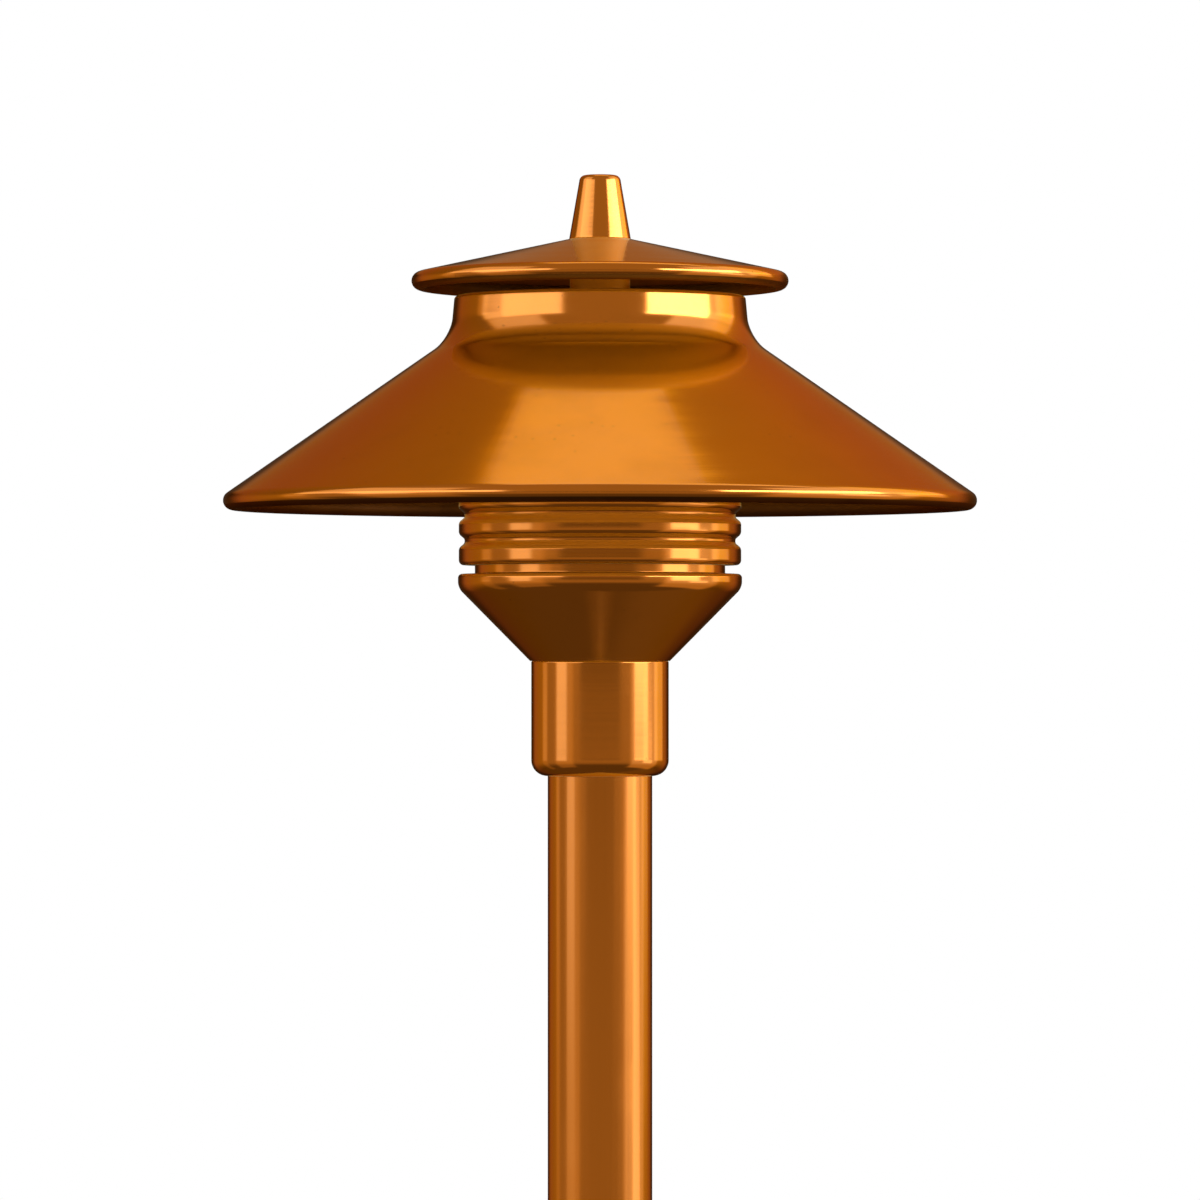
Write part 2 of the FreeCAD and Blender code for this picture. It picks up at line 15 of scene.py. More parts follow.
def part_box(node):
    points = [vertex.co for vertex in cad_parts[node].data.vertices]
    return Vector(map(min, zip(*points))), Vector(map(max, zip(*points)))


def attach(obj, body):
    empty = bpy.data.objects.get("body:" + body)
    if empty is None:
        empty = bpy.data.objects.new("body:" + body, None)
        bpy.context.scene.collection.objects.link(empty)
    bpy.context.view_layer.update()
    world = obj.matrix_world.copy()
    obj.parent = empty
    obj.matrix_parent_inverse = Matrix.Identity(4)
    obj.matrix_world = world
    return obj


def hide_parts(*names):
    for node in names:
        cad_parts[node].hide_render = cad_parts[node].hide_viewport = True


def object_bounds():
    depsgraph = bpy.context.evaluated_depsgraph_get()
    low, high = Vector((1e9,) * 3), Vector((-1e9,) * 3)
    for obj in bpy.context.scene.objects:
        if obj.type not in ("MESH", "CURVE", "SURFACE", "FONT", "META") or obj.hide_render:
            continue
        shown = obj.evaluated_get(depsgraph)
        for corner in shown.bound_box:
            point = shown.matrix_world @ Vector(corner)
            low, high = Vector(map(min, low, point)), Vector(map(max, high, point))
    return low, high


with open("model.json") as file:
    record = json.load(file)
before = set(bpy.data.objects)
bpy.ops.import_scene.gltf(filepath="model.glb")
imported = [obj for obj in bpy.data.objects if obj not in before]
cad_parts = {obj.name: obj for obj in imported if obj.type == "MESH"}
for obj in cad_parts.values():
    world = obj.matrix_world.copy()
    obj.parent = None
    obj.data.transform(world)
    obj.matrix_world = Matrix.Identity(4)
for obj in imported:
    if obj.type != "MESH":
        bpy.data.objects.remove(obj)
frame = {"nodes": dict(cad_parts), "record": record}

CAD_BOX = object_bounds()

bl_info = {
    "name": "Copper path light",
    "version": (1, 0, 0),
    "blender": (4, 5, 0),
    "location": "3D View > Sidebar > Path light",
    "description": "Builds the spun copper, glass, fittings and stake of a path light, and its studio",
    "category": "Object",
}

MM = 0.001
BODY_OF = {node: body for body, nodes in frame["record"]["behaviour"]["bodies"].items() for node in nodes}
SLOT_OF = {part["node"]: part["material_slot"] for part in frame["record"]["subparts"]}
UNDER = -0.45            # down-facing faces steeper than this on a spun rim get the inside copper's painted shade
HOLD = 0.3 * MM          # distance of a holding loop from the end of a straight run
WELD = 1e-6              # distance under which vertices are one
SHARP = math.radians(32)
LEAST_BEND = 0.2 * MM    # smallest radius inside a bend of the sheet
BEAD_STEPS = 28          # segments round a rolled rim
STUD_HOLE = 3.3 * MM     # radius of the hole for the centre stud in the hat and the cap
SIXTH = math.pi / 3

# Copper as other copper mirrors it, and its colour at grazing angles.
MIRRORED_ROUGH = 0.5
MIRRORED_METAL = 0.25
MIRRORED = (0.64, 0.60, 0.25)
EDGE_TINT = (0.85, 0.40, 0.08)

# The height's share of the distance along a turned outline, against the radius.
HEIGHT_SHARE = 0.6


# -------------------- sizes and colours

def mm(*values):
    """Lengths given in millimetres."""
    return [value * MM for value in values]


def measure(name, description, default):
    return FloatProperty(name=name, description=description, default=default * MM, unit="LENGTH",
                         subtype="DISTANCE")


def tilt(name, description, default):
    return FloatProperty(name=name, description=description, default=math.radians(default),
                         unit="ROTATION", subtype="ANGLE")


class PathlightSizes(bpy.types.PropertyGroup):
    """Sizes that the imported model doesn't give as the box of a node, in millimetres and degrees."""

    sheet: measure("Sheet", "Thickness of the spun copper sheet", 1.5)
    hat_slope: tilt("Hat slope", "Fall of the hat's cone below level", 34.75)
    hat_bead: measure("Hat bead", "Radius of the hat's rolled rim", 2.3)
    hat_neck: measure("Hat neck", "Radius at the top of the hat's neck", 35.35)
    neck_draft: tilt("Neck draft", "Lean of the hat's neck off upright", 5.2)
    hat_fillet: measure("Hat fillet", "Radius between the hat's neck and cone", 10.5)
    cap_slope: tilt("Cap slope", "Fall of the top cap's cone below level", 12.8)
    cap_bead: measure("Cap bead", "Radius of the top cap's rolled rim", 2.15)
    cap_seat: measure("Cap seat", "Radius of the flat under the finial", 7.8)
    rib_pitch: measure("Rib pitch", "Height of one rib of the collar", 6.25)
    first_groove: measure("First groove", "Height of the lowest groove above the collar's foot", 5.85)
    rib_depth: measure("Rib depth", "Depth of the grooves between the ribs", 1.4)
    lip: measure("Lip", "Height of the housing's lip above its cone", 3.4)
    spin_steps: IntProperty(name="Spin steps", description="Facets round a large turned piece",
                            default=240, min=24, max=512)
    arc_steps: IntProperty(name="Arc steps", description="Segments in a rounded corner",
                           default=10, min=2, max=32)


def colour(name, description, default):
    return FloatVectorProperty(name=name, description=description, default=default, size=3, min=0, max=1,
                               subtype="COLOR")


class PathlightColours(bpy.types.PropertyGroup):
    """Base colours, in linear light."""

    copper: colour("Copper", "Polished and lacquered copper", (0.87, 0.252, 0.0254))
    # Inside copper: its dark brown tone is painted shade, for faces that lie in the hats' shadow; the copper
    # there is only unpolished.
    inside: colour("Copper inside", "Unpolished inner side of the hats", (0.15, 0.047, 0.009))
    brass: colour("Brass", "Machined brass fittings", (0.78, 0.53, 0.19))
    steel: colour("Steel", "Stainless screws, nuts and stud", (0.58, 0.57, 0.55))
    aluminium: colour("Aluminium", "Bright reflector", (0.86, 0.87, 0.88))
    plastic: colour("Plastic", "Moulded stake", (0.016, 0.016, 0.017))
    rubber: colour("Rubber", "Seals and grommet", (0.012, 0.012, 0.012))
    ceramic: colour("Ceramic", "Lamp socket and lamp base", (0.80, 0.77, 0.70))
    tungsten: colour("Tungsten", "Filament", (0.22, 0.21, 0.21))
    glass: colour("Glass", "Lens and lamp capsule", (0.97, 0.99, 0.98))
    floor: colour("Floor", "Pale studio floor", (0.82, 0.82, 0.81))


# -------------------- outlines and meshes

def span(node):
    """A turned CAD node's radius, lowest height and highest height."""
    low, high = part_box(node)
    return high.x, low.z, high.z


def round_vertex(bm, vert, radius):
    """Turns one vertex of a wire outline into an arc of that radius."""
    runs = [edge.other_vert(vert).co - vert.co for edge in vert.link_edges]
    reach = radius / math.tan(runs[0].angle(runs[1]) / 2)
    steps = bpy.context.scene.pathlight_sizes.arc_steps
    bmesh.ops.bevel(bm, geom=[vert], offset=reach, offset_type="OFFSET", segments=steps, profile=0.5,
                    affect="VERTICES", clamp_overlap=False, material=-1)


def hold_ends(bm):
    """Puts a loop near both ends of each long run, so that smooth shading stays flat between them."""
    long_run = 6 * HOLD
    for edge in [e for e in bm.edges if e.calc_length() > long_run]:
        first, last = edge.verts
        length = edge.calc_length()
        rest = bmesh.utils.edge_split(edge, first, HOLD / length)[0]
        far = rest if last in rest.verts else edge
        bmesh.utils.edge_split(far, last, HOLD / (length - HOLD))


def chain(bm, corners, start=None):
    """A run of vertices joined by edges, from a start vertex if there is one."""
    verts = [bm.verts.new((corner[0], 0, corner[1])) for corner in corners]
    linked = ([start] if start else []) + verts
    for one, other in zip(linked, linked[1:]):
        bm.edges.new((one, other))
    return verts


def round_corners(bm, verts, corners):
    for vert, corner in zip(verts, corners):
        if len(corner) > 2 and corner[2] > 0:
            round_vertex(bm, vert, corner[2])


def outline(bm, corners, closed=True):
    """A wire in the XZ plane through the corners, rounded where they ask for it."""
    verts = chain(bm, corners)
    if closed:
        bm.edges.new((verts[-1], verts[0]))
    round_corners(bm, verts, corners)
    hold_ends(bm)


def spin_round(bm, steps):
    """Spins the whole outline about Z into a closed skin."""
    bmesh.ops.spin(bm, geom=bm.verts[:] + bm.edges[:], cent=(0, 0, 0), axis=(0, 0, 1), dvec=(0, 0, 0),
                   angle=2 * math.pi, steps=steps, use_merge=True)
    bmesh.ops.remove_doubles(bm, verts=bm.verts[:], dist=WELD)
    bmesh.ops.recalc_face_normals(bm, faces=bm.faces[:])


def turned(*corners, steps=None):
    """A turned solid as a bmesh."""
    bm = bmesh.new()
    outline(bm, corners)
    spin_round(bm, steps or bpy.context.scene.pathlight_sizes.spin_steps)
    return bm


def add_mesh(bm, other, place=Matrix()):
    """Adds another bmesh to bm at a place, and frees it."""
    mesh = bpy.data.meshes.new("part")
    other.transform(place)
    other.to_mesh(mesh)
    other.free()
    bm.from_mesh(mesh)
    bpy.data.meshes.remove(mesh)


def piece(name, bm, node, material=None):
    """Makes the bmesh an object that stands for a CAD node, with smooth faces and its hard edges kept."""
    for face in bm.faces:
        face.smooth = True
    for edge in bm.edges:
        edge.smooth = not (edge.is_manifold and edge.calc_face_angle() > SHARP)
    mesh = bpy.data.meshes.new(name)
    bm.to_mesh(mesh)
    bm.free()
    obj = bpy.data.objects.new(name, mesh)
    bpy.context.scene.collection.objects.link(obj)
    mesh.materials.append(material or finish_of(SLOT_OF[node]))
    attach(obj, BODY_OF[node])
    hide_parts(node)
    return obj


def around(angle, radius=0.0, height=0.0):
    """The place at that angle about Z, radius out and height up."""
    return Matrix.Rotation(angle, 4, "Z") @ Matrix.Translation((radius, 0, height))


def prism(points, thickness, edge=0.0):
    """A plate in the XZ plane, centred on it, with its edges eased."""
    bm = bmesh.new()
    face = bm.faces.new([bm.verts.new((x, -thickness / 2, z)) for x, z in points])
    grown = bmesh.ops.extrude_face_region(bm, geom=[face])["geom"]
    moved = [item for item in grown if isinstance(item, bmesh.types.BMVert)]
    bmesh.ops.translate(bm, verts=moved, vec=(0, thickness, 0))
    bmesh.ops.recalc_face_normals(bm, faces=bm.faces[:])
    if edge:
        bmesh.ops.bevel(bm, geom=bm.edges[:], offset=edge, offset_type="OFFSET", segments=3, profile=0.5,
                        affect="EDGES", clamp_overlap=True, material=-1)
    return bm


def carve(body, tool, operation):
    """The first closed bmesh joined to, cut by or kept inside the second; both are used up."""
    carvings = []
    for source in (body, tool):
        mesh = bpy.data.meshes.new("carving")
        source.to_mesh(mesh)
        source.free()
        carvings.append(bpy.data.objects.new("carving", mesh))
        bpy.context.scene.collection.objects.link(carvings[-1])
    change = carvings[0].modifiers.new("carve", "BOOLEAN")
    change.operation = operation
    change.object = carvings[1]
    change.solver = "EXACT"
    result = bmesh.new()
    result.from_object(carvings[0], bpy.context.evaluated_depsgraph_get())
    for obj in carvings:
        mesh = obj.data
        bpy.data.objects.remove(obj)
        bpy.data.meshes.remove(mesh)
    bmesh.ops.remove_doubles(result, verts=result.verts[:], dist=WELD)
    bmesh.ops.dissolve_degenerate(result, edges=result.edges[:], dist=WELD)
    return result


def threaded(radius, depth, pitch, low, high):
    """The corners of an outer thread, from its lower end to its upper."""
    turns = int((high - low) / pitch)
    corners = [(radius - depth, low)]
    for i in range(turns):
        corners += [(radius, low + (i + 0.5) * pitch), (radius - depth, low + (i + 1) * pitch)]
    return corners


def plain_ring(name, node, inner, edge, steps):
    """A ring or tube that fills its CAD node's span, with its outer edges eased."""
    outer, low, high = span(node)
    bm = turned((inner, low), (outer, low, edge), (outer, high, edge), (inner, high), steps=steps)
    piece(name, bm, node)


def weigh_normals(obj):
    """Lets the large faces decide the shading, so that flats stay flat beside eased edges."""
    weighting = obj.modifiers.new("weigh_normals", "WEIGHTED_NORMAL")
    weighting.keep_sharp = True


# -------------------- shader building

def put(tree, kind, inputs=None, **settings):
    """Adds a node; an input is given a value, or is linked if it is another node's socket."""
    node = tree.nodes.new(kind)
    for key, value in settings.items():
        setattr(node, key, value)
    for key, value in (inputs or {}).items():
        if isinstance(value, bpy.types.NodeSocket):
            tree.links.new(value, node.inputs[key])
        else:
            node.inputs[key].default_value = value
    return node


def maths(tree, operation, *values):
    """The output of a Math node."""
    return put(tree, "ShaderNodeMath", dict(enumerate(values)), operation=operation).outputs[0]


def times(tree, one, other):
    return maths(tree, "MULTIPLY", one, other)


def raised(tree, base, *shares):
    """A base value, raised by a share of each mask."""
    for mask, share in shares:
        base = maths(tree, "MULTIPLY_ADD", mask, share, base)
    return base


def ramp_value(tree, value, low, high, to_low=0.0, to_high=1.0):
    """A value eased from one range to another."""
    inputs = {"Value": value, "From Min": low, "From Max": high, "To Min": to_low, "To Max": to_high}
    return put(tree, "ShaderNodeMapRange", inputs, interpolation_type="SMOOTHSTEP").outputs["Result"]


def put_mix(tree, share, one, other):
    """A mix of two colours, each an RGB value or another node's socket."""
    one, other = (end if isinstance(end, bpy.types.NodeSocket) else (*end, 1) for end in (one, other))
    return put(tree, "ShaderNodeMix", {0: share, 6: one, 7: other}, data_type="RGBA").outputs[2]


def effect(name, inputs, outputs, build):
    """A shader node group made once, with float inputs and outputs."""
    group = bpy.data.node_groups.get(name)
    if group:
        return group
    group = bpy.data.node_groups.new(name, "ShaderNodeTree")
    for label, default in inputs.items():
        socket = group.interface.new_socket(label, in_out="INPUT", socket_type="NodeSocketFloat")
        socket.default_value = default
    for label in outputs:
        group.interface.new_socket(label, in_out="OUTPUT", socket_type="NodeSocketFloat")
    source = put(group, "NodeGroupInput")
    sink = put(group, "NodeGroupOutput")
    for label, socket in zip(outputs, build(group, source.outputs)):
        group.links.new(socket, sink.inputs[label])
    return group


def use(tree, group, **values):
    """The outputs of a node group with its own values; underscores in a name stand for spaces."""
    node = put(tree, "ShaderNodeGroup", node_tree=group)
    for label, value in values.items():
        node.inputs[label.replace("_", " ")].default_value = value
    return node.outputs


def object_place(tree):
    return put(tree, "ShaderNodeTexCoord").outputs["Object"]


def profile_place(tree):
    """Object coordinates, and the distance along a turned piece's outline."""
    coords = object_place(tree)
    x, y, z = put(tree, "ShaderNodeSeparateXYZ", {0: coords}).outputs
    radius = maths(tree, "SQRT", maths(tree, "ADD", times(tree, x, x), times(tree, y, y)))
    return coords, maths(tree, "SUBTRACT", radius, times(tree, z, HEIGHT_SHARE))


def noise(tree, coords, scale, detail, along=None, roughness=0.5):
    """A noise texture's value; with a distance along an outline it varies with that too."""
    inputs = {"Vector": coords, "Scale": scale, "Detail": detail, "Roughness": roughness}
    if along is None:
        return put(tree, "ShaderNodeTexNoise", inputs, noise_dimensions="3D").outputs[0]
    inputs["W"] = along
    return put(tree, "ShaderNodeTexNoise", inputs, noise_dimensions="4D").outputs[0]


def scaled(tree, coords, x, y, z):
    return put(tree, "ShaderNodeVectorMath", {0: coords, 1: (x, y, z)}, operation="MULTIPLY").outputs[0]


def turning_rings():
    """Rings left by turning: Lines, the fine ones, and Waves, the slow ones of spun sheet."""
    def build(tree, given):
        coords, along = profile_place(tree)
        line_steps = maths(tree, "DIVIDE", along, given["Line pitch"])
        wave_steps = maths(tree, "DIVIDE", along, given["Wave pitch"])
        lines = noise(tree, scaled(tree, coords, 9, 9, 9), scale=1.0, detail=3.0, along=line_steps)
        waves = noise(tree, scaled(tree, coords, 22, 22, 22), scale=1.0, detail=1.0, along=wave_steps)
        return lines, waves
    return effect("turning_rings", {"Line pitch": 0.6 * MM, "Wave pitch": 12 * MM}, ("Lines", "Waves"), build)


def drawn_streaks():
    """Streaks along a drawn tube, long in Z and narrow round the tube: Fine and Broad."""
    def build(tree, _):
        coords = object_place(tree)
        fine = noise(tree, scaled(tree, coords, 900, 900, 5.4), scale=1.0, detail=3.0)
        broad = noise(tree, scaled(tree, coords, 130, 130, 6.5), scale=1.0, detail=1.0)
        return fine, broad
    return effect("drawn_streaks", {}, ("Fine", "Broad"), build)


def handling():
    """What a handled, lacquered surface shows: Smears, faint and cloudy, and Specks of dust."""
    def build(tree, _):
        coords = object_place(tree)
        smears = ramp_value(tree, noise(tree, coords, scale=38.0, detail=4.0, roughness=0.62), 0.42, 0.72)
        cells = put(tree, "ShaderNodeTexVoronoi", {"Vector": coords, "Scale": 420.0}, feature="F1",
                    distance="EUCLIDEAN").outputs["Distance"]
        sparse = ramp_value(tree, noise(tree, coords, scale=75.0, detail=1.0), 0.56, 0.64)
        return smears, times(tree, ramp_value(tree, cells, 0.16, 0.05), sparse)
    return effect("handling", {}, ("Smears", "Specks"), build)


def moulded_grain():
    """The fine texture of a moulded skin: Height, and the slow Mottle of its sheen."""
    def build(tree, given):
        coords = object_place(tree)
        return noise(tree, coords, given["Grain"], detail=3.0), noise(tree, coords, scale=28.0, detail=3.0)
    return effect("moulded_grain", {"Grain": 2200.0}, ("Height", "Mottle"), build)


def bump(tree, height, distance, normal=None):
    inputs = {"Height": height, "Distance": distance, "Strength": 1.0}
    if normal:
        inputs["Normal"] = normal
    return put(tree, "ShaderNodeBump", inputs).outputs["Normal"]


def principled(name, **constants):
    """A material with a Principled shader, its constant values set on the shader's own sockets."""
    material = bpy.data.materials.new(name)
    material.use_nodes = True
    tree = material.node_tree
    shader = tree.nodes["Principled BSDF"]
    for label, value in constants.items():
        shader.inputs[label.replace("_", " ")].default_value = value
    return material, tree, shader


def feed(tree, shader, **sockets):
    """Links sockets to a shader's inputs; underscores in a name stand for spaces."""
    for label, socket in sockets.items():
        tree.links.new(socket, shader.inputs[label.replace("_", " ")])


def darker(rgb, share):
    return tuple(channel * share for channel in rgb)


def dusted(rgb, rise):
    return tuple(channel + rise for channel in rgb)


# -------------------- materials

def bounced(tree, shader, tone, rough):
    """Copper as it is where the camera sees it, paler and duller where other copper mirrors it."""
    seen = put(tree, "ShaderNodeLightPath").outputs["Is Camera Ray"]
    duller = put(tree, "ShaderNodeMix", {0: seen, 2: MIRRORED_ROUGH, 3: rough}).outputs[0]
    metal = put(tree, "ShaderNodeMix", {0: seen, 2: MIRRORED_METAL, 3: 1.0}).outputs[0]
    feed(tree, shader, Base_Color=put_mix(tree, seen, MIRRORED, tone), Roughness=duller, Metallic=metal)
    shader.inputs["Specular Tint"].default_value = (*EDGE_TINT, 1)


def copper_polished(colours):
    """Spun or turned copper, polished and lacquered."""
    material, tree, shader = principled("copper_polished", Metallic=1.0, Coat_Weight=0.12,
                                        Coat_Roughness=0.04)
    rings = use(tree, turning_rings(), Line_pitch=0.7 * MM, Wave_pitch=11 * MM)
    marks = use(tree, handling())
    tone = put_mix(tree, marks["Smears"], colours.copper, darker(colours.copper, 0.94))
    dusty = put_mix(tree, marks["Specks"], tone, darker(colours.copper, 0.72))
    rough = raised(tree, 0.10, (marks["Smears"], 0.035), (rings["Lines"], 0.05), (marks["Specks"], 0.12))
    bounced(tree, shader, dusty, rough)
    waves = bump(tree, rings["Waves"], 0.12 * MM)
    feed(tree, shader, Normal=bump(tree, rings["Lines"], 0.006 * MM, waves))
    return material


def copper_inside(colours):
    """The unpolished inner side of spun copper, with a dark brown tone that is painted shade for the camera.
    """
    material, tree, shader = principled("copper_inside", Metallic=1.0)
    rings = use(tree, turning_rings(), Line_pitch=0.9 * MM, Wave_pitch=20 * MM)
    marks = use(tree, handling())
    # The dark inside colour is painted shade; the smears mixed into it are real handling marks.
    tone = put_mix(tree, marks["Smears"], colours.inside, darker(colours.inside, 0.7))
    bounced(tree, shader, tone, raised(tree, 0.40, (rings["Lines"], 0.16)))
    feed(tree, shader, Normal=bump(tree, rings["Lines"], 0.02 * MM))
    return material


def copper_tube(colours):
    """Drawn copper tube, polished along its length and lacquered."""
    material, tree, shader = principled("copper_tube", Metallic=1.0, Coat_Weight=0.12, Coat_Roughness=0.06)
    streaks = use(tree, drawn_streaks())
    marks = use(tree, handling())
    tone = put_mix(tree, streaks["Fine"], darker(colours.copper, 0.88), colours.copper)
    bounced(tree, shader, tone, raised(tree, 0.12, (streaks["Fine"], 0.10), (marks["Smears"], 0.04)))
    broad = bump(tree, streaks["Broad"], 0.16 * MM)
    feed(tree, shader, Normal=bump(tree, streaks["Fine"], 0.012 * MM, broad))
    return material


def machined(name, rgb, roughness):
    """A machined metal with turning lines and slight tarnish."""
    material, tree, shader = principled(name, Metallic=1.0)
    rings = use(tree, turning_rings(), Line_pitch=0.25 * MM, Wave_pitch=4 * MM)
    smears = use(tree, handling())["Smears"]
    feed(tree, shader, Base_Color=put_mix(tree, smears, rgb, darker(rgb, 0.78)),
         Roughness=raised(tree, roughness, (smears, 0.10)), Normal=bump(tree, rings["Lines"], 0.004 * MM))
    return material


def yellow_brass(colours):
    return machined("yellow_brass", colours.brass, roughness=0.24)


def stainless_steel(colours):
    return machined("stainless_steel", colours.steel, roughness=0.22)


def bright_aluminium(colours):
    return machined("bright_aluminium", colours.aluminium, roughness=0.13)


def filament_wire(colours):
    return machined("filament_wire", colours.tungsten, roughness=0.42)


def moulded(name, rgb, dusty, roughness, grain, depth):
    """A moulded skin: fine grain, mottled sheen and a little dust."""
    material, tree, shader = principled(name, Specular_IOR_Level=0.45)
    skin = use(tree, moulded_grain(), Grain=grain)
    smears = use(tree, handling())["Smears"]
    feed(tree, shader, Base_Color=put_mix(tree, smears, rgb, dusty),
         Roughness=raised(tree, roughness, (skin["Mottle"], 0.16)), Normal=bump(tree, skin["Height"], depth))
    return material


def black_plastic(colours):
    rgb = colours.plastic
    return moulded("black_plastic", rgb, dusted(rgb, 0.018), roughness=0.34, grain=2600.0, depth=0.04 * MM)


def wire_plastic(colours):
    rgb = colours.plastic
    return moulded("wire_plastic", rgb, dusted(rgb, 0.012), roughness=0.30, grain=3500.0, depth=0.01 * MM)


def black_rubber(colours):
    rgb = colours.rubber
    return moulded("black_rubber", rgb, dusted(rgb, 0.02), roughness=0.55, grain=3000.0, depth=0.03 * MM)


def white_ceramic(colours):
    rgb = colours.ceramic
    return moulded("white_ceramic", rgb, darker(rgb, 0.9), roughness=0.38, grain=1800.0, depth=0.02 * MM)


def clear_glass(colours):
    """Clear pressed glass, slightly wavy."""
    material, tree, shader = principled("clear_glass", Transmission_Weight=1.0, IOR=1.47, Metallic=0.0)
    shader.inputs["Base Color"].default_value = (*colours.glass, 1)
    smears = use(tree, handling())["Smears"]
    rings = use(tree, turning_rings(), Line_pitch=3 * MM, Wave_pitch=20 * MM)
    feed(tree, shader, Roughness=raised(tree, 0.02, (smears, 0.05)),
         Normal=bump(tree, rings["Waves"], 0.08 * MM))
    return material


FINISHES = {make.__name__: make for make in (
    copper_polished, copper_inside, copper_tube, yellow_brass, stainless_steel, bright_aluminium,
    black_plastic, wire_plastic, black_rubber, white_ceramic, clear_glass, filament_wire)}


def finish_of(slot):
    """The material of a slot, made the first time it is asked for."""
    finish = bpy.data.materials.get(f"finish_{slot}")
    if finish is None:
        finish = FINISHES[slot](bpy.context.scene.pathlight_colours)
        finish.name = f"finish_{slot}"
    return finish


# -------------------- spun copper

def parallel(corners, distance):
    """The corners moved to a line that runs below them at that distance."""
    moved = []
    points = [Vector((corner[0], corner[1])) for corner in corners]
    for i, point in enumerate(points):
        runs = [(points[j + 1] - points[j]).normalized() for j in (i - 1, i) if 0 <= j < len(points) - 1]
        sides = [Vector((run.y, -run.x)) for run in runs]
        if len(sides) == 1:
            moved.append((*(point + sides[0] * distance), 0))
            continue
        place = point + (sides[0] + sides[1]) * (distance / (1 + sides[0].dot(sides[1])))
        grow = -distance if runs[1].dot(sides[0]) > 0 else distance
        radius = max(corners[i][2] + grow, LEAST_BEND) if len(corners[i]) > 2 and corners[i][2] else 0
        moved.append((*place, radius))
    return moved


def spun_piece(name, node, corners, slope, bead, bead_radius):
    """A piece of sheet spun down to a rolled bead rim; inside and under the bead it is unpolished, with
    painted shade.
    """
    sizes = bpy.context.scene.pathlight_sizes
    sheet = sizes.sheet
    bm = bmesh.new()
    side = Vector((math.sin(slope), math.cos(slope)))
    fall = Vector((math.cos(slope), -math.sin(slope)))
    touch = bead + side * bead_radius
    outer = list(corners) + [(*touch, 0)]
    turn = math.acos((bead_radius - sheet) / bead_radius)
    back = math.sqrt(bead_radius ** 2 - (bead_radius - sheet) ** 2)
    joined = bead + side * (bead_radius - sheet) - fall * back
    inner = parallel(outer, sheet)[-2::-1]
    first = chain(bm, outer)
    rolled = bmesh.ops.spin(bm, geom=[first[-1]], cent=(bead.x, 0, bead.y), axis=(0, 1, 0), dvec=(0, 0, 0),
                            angle=2 * math.pi - turn, steps=BEAD_STEPS)
    end = [item for item in rolled["geom_last"] if isinstance(item, bmesh.types.BMVert)][0]
    end.co = (joined.x, 0, joined.y)
    second = chain(bm, inner, end)
    bm.edges.new((second[-1], first[0]))
    round_corners(bm, first, outer)
    round_corners(bm, second, inner)
    hold_ends(bm)
    spin_round(bm, sizes.spin_steps)
    # Faces that look inwards, and rim faces that look down, get the inside copper: painted shade inside the
    # hat and under its rim.
    for face in bm.faces:
        middle = face.calc_center_median()
        outward = face.normal.x * middle.x + face.normal.y * middle.y
        inside = outward < 0 or (face.normal.z < UNDER and middle.xy.length < bead.x + bead_radius)
        face.material_index = int(inside)
    obj = piece(name, bm, node)
    obj.data.materials.append(finish_of("copper_inside"))


def falling_line_meets(touch, slope, radius, height, draft):
    """Where the cone's line up from its bead meets a wall that leans in towards (radius, height)."""
    lean, fall = math.tan(draft), math.tan(slope)
    r = (radius + lean * (height - touch.y - fall * touch.x)) / (1 - lean * fall)
    return r, touch.y + fall * (touch.x - r)


class PATHLIGHT_OT_hat(bpy.types.Operator):
    """Build the wide spun hat with its neck and rolled rim"""
    bl_idname = "pathlight.hat"
    bl_label = "Hat"

    def execute(self, context):
        sizes = context.scene.pathlight_sizes
        rim, low, high = span("shade")
        neck_edge = 0.9 * MM
        bead = Vector((rim - sizes.hat_bead, low + sizes.hat_bead))
        touch = bead + sizes.hat_bead * Vector((math.sin(sizes.hat_slope), math.cos(sizes.hat_slope)))
        knee = falling_line_meets(touch, sizes.hat_slope, sizes.hat_neck, high, sizes.neck_draft)
        corners = [(STUD_HOLE, high), (sizes.hat_neck, high, neck_edge), (*knee, sizes.hat_fillet)]
        spun_piece("hat", "shade", corners, sizes.hat_slope, bead, sizes.hat_bead)
        return {"FINISHED"}


class PATHLIGHT_OT_cap(bpy.types.Operator):
    """Build the small spun cap over the hat"""
    bl_idname = "pathlight.cap"
    bl_label = "Top cap"

    def execute(self, context):
        sizes = context.scene.pathlight_sizes
        rim, low, high = span("top_cap")
        bead = Vector((rim - sizes.cap_bead, low + sizes.cap_bead))
        corners = [(STUD_HOLE, high), (sizes.cap_seat, high)]
        spun_piece("top_cap_spun", "top_cap", corners, sizes.cap_slope, bead, sizes.cap_bead)
        return {"FINISHED"}


class PATHLIGHT_OT_finial(bpy.types.Operator):
    """Build the tapered finial that holds the hat down, and its seat"""
    bl_idname = "pathlight.finial"
    bl_label = "Finial"

    def execute(self, context):
        base, low, high = span("finial")
        top, top_edge, base_edge = mm(4.8, 1.4, 0.2)
        recess_r, recess, bore, above_bore = mm(5.7, 0.85, 3.08, 3.9)
        bore_top = high - above_bore
        bm = turned((recess_r, low), (base, low, base_edge), (top, high, top_edge), (0, high), (0, bore_top),
                    (bore, bore_top), (bore, low + recess), (recess_r, low + recess), steps=128)
        piece("finial_turned", bm, "finial")
        hole, ease = mm(3.1, 0.15)
        plain_ring("finial_seat", "finial_washer", hole, ease, steps=96)
        return {"FINISHED"}


# -------------------- housing, collar, hub and stem

